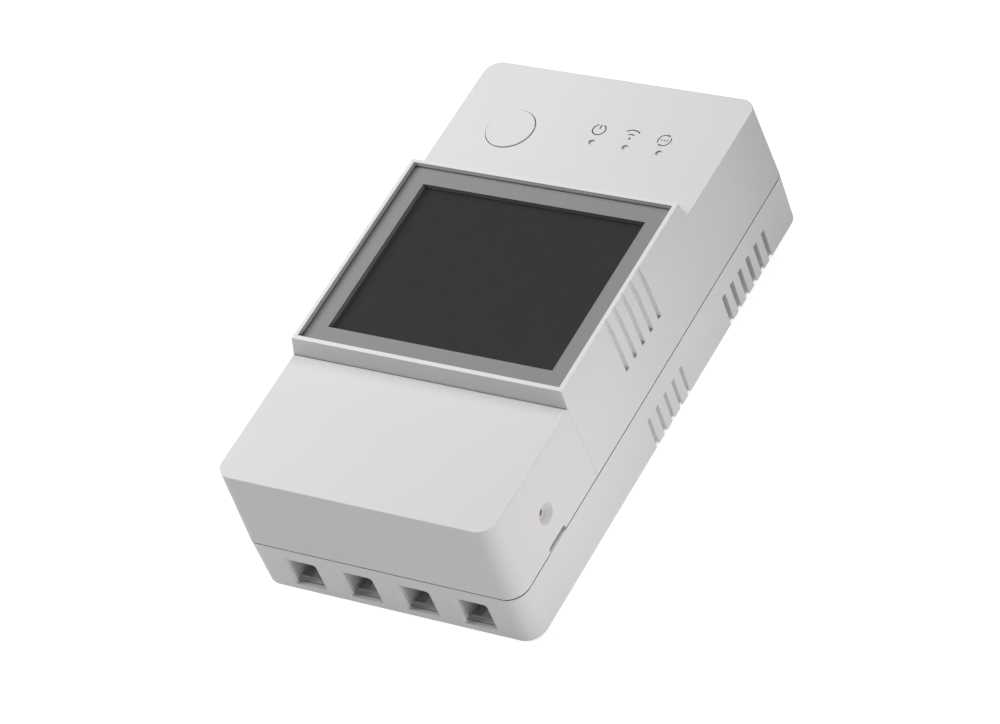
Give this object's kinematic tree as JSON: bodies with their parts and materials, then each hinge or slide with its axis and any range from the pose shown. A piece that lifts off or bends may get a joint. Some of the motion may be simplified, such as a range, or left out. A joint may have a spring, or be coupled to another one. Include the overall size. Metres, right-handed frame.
{
  "type": "smart switch",
  "caption": "White inline smart power switch with a raised display, a round button, indicator lights, side vents and a lift-off terminal cover over wire clamps.",
  "frame": {"origin": "middle of the flat back face, which the switch lies on", "axes": "+Z out of the front face, +Y along the length towards the button end, +X to the right seen from the front with +Y up"},
  "size_m": [0.054, 0.098, 0.0296],
  "materials": {
    "housing_white": "fine satin moulding texture",
    "bezel_grey": "matt grey paint",
    "lens_black": "smooth dark panel",
    "lcd_glass": "glass sandwich",
    "frame_white": "white moulding",
    "light_guide": "clear milky moulding",
    "board_green": "solder mask",
    "board_black": "dark solder mask",
    "screw_steel": "zinc plated",
    "clamp_steel": "zinc plated",
    "black_plastic": "matt black moulding",
    "led_resin": "clear resin on white",
    "terminal_plastic": "dark grey moulding",
    "contact_brass": "stamped strip",
    "relay_plastic": "moulded case",
    "copper_winding": "enamelled wire",
    "relay_iron": "plated soft iron",
    "ferrite": "sintered",
    "tape_yellow": "tape wrap",
    "capacitor_can": "printed sleeve, bare",
    "film_yellow": "potted box",
    "varistor_blue": "dipped coat",
    "fuse_ceramic": "ceramic with plated caps",
    "shunt_alloy": "alloy strip",
    "shield_steel": "tinned can"
  },
  "bodies": {
    "housing": {"backlight_frame": "frame_white", "backlight_guide": "light_guide", "base_housing": "housing_white", "board_pins": "contact_brass", "bulk_capacitors": "capacitor_can", "control_board_screws": "screw_steel", "control_pcb": "board_green", "current_shunt": "shunt_alloy", "display_bezel": "bezel_grey", "display_lens": "lens_black", "film_capacitor": "film_yellow", "housing_screws": "screw_steel", "indicator_leds": "led_resin", "input_fuse": "fuse_ceramic", "lcd_module": "lcd_glass", "light_pipe": "light_guide", "main_pcb": "board_green", "metering_chip": "black_plastic", "pcb_screws": "screw_steel", "pin_header": "black_plastic", "pin_socket": "black_plastic", "relay_base": "black_plastic", "relay_case": "relay_plastic", "relay_coil": "copper_winding", "relay_fixed_contact": "contact_brass", "relay_yoke": "relay_iron", "tact_switch": "black_plastic", "terminal_block": "terminal_plastic", "terminal_contacts": "contact_brass", "transformer_bobbin": "black_plastic", "transformer_core": "ferrite", "transformer_winding": "tape_yellow", "upper_housing": "housing_white", "varistor": "varistor_blue", "wifi_module": "board_black", "wifi_shield": "shield_steel"},
    "cover": {"terminal_cover": "housing_white"},
    "button": {"button_cap": "housing_white"},
    "switch_plunger": {"tact_plunger": "black_plastic"},
    "armature": {"relay_armature": "relay_iron", "relay_blade": "contact_brass"},
    "screw_1": {"clamp_screw_1": "screw_steel"},
    "cage_1": {"clamp_cage_1": "clamp_steel"},
    "screw_2": {"clamp_screw_2": "screw_steel"},
    "cage_2": {"clamp_cage_2": "clamp_steel"},
    "screw_3": {"clamp_screw_3": "screw_steel"},
    "cage_3": {"clamp_cage_3": "clamp_steel"},
    "screw_4": {"clamp_screw_4": "screw_steel"},
    "cage_4": {"clamp_cage_4": "clamp_steel"}
  },
  "joints": [
    {"name": "cover_lift", "type": "slide", "parent": "housing", "child": "cover", "axis": [0, 0, 1], "range_m": [0, 0.03]},
    {"name": "button_press", "type": "slide", "parent": "housing", "child": "button", "axis": [0, 0, -1], "range_m": [0, 0.0004], "stiffness_N_per_m": 3000},
    {"name": "switch_travel", "type": "slide", "parent": "housing", "child": "switch_plunger", "axis": [0, 0, -1], "range_m": [0, 0.0004]},
    {"name": "armature_swing", "type": "hinge", "parent": "housing", "child": "armature", "pos_m": [0.0018, -0.00885, 0.01645], "axis": [0, 1, 0], "range_deg": [0, 6], "stiffness_Nm_per_rad": 0.02},
    {"name": "screw_1_turn", "type": "hinge", "parent": "housing", "child": "screw_1", "pos_m": [-0.01633, -0.0414, 0.0163], "axis": [0, 0, 1], "range_deg": [-1492, 0]},
    {"name": "cage_1_rise", "type": "slide", "parent": "housing", "child": "cage_1", "axis": [0, 0, 1], "range_m": [0, 0.0029]},
    {"name": "screw_2_turn", "type": "hinge", "parent": "housing", "child": "screw_2", "pos_m": [-0.00531, -0.0414, 0.0163], "axis": [0, 0, 1], "range_deg": [-1492, 0]},
    {"name": "cage_2_rise", "type": "slide", "parent": "housing", "child": "cage_2", "axis": [0, 0, 1], "range_m": [0, 0.0029]},
    {"name": "screw_3_turn", "type": "hinge", "parent": "housing", "child": "screw_3", "pos_m": [0.00571, -0.0414, 0.0163], "axis": [0, 0, 1], "range_deg": [-1492, 0]},
    {"name": "cage_3_rise", "type": "slide", "parent": "housing", "child": "cage_3", "axis": [0, 0, 1], "range_m": [0, 0.0029]},
    {"name": "screw_4_turn", "type": "hinge", "parent": "housing", "child": "screw_4", "pos_m": [0.01673, -0.0414, 0.0163], "axis": [0, 0, 1], "range_deg": [-1492, 0]},
    {"name": "cage_4_rise", "type": "slide", "parent": "housing", "child": "cage_4", "axis": [0, 0, 1], "range_m": [0, 0.0029]}
  ],
  "couplings": [
    {"joint": "switch_travel", "follows": "button_press", "ratio": 1},
    {"joint": "screw_1_turn", "follows": "cage_1_rise", "rad_per_m": -8976},
    {"joint": "screw_2_turn", "follows": "cage_2_rise", "rad_per_m": -8976},
    {"joint": "screw_3_turn", "follows": "cage_3_rise", "rad_per_m": -8976},
    {"joint": "screw_4_turn", "follows": "cage_4_rise", "rad_per_m": -8976}
  ]
}
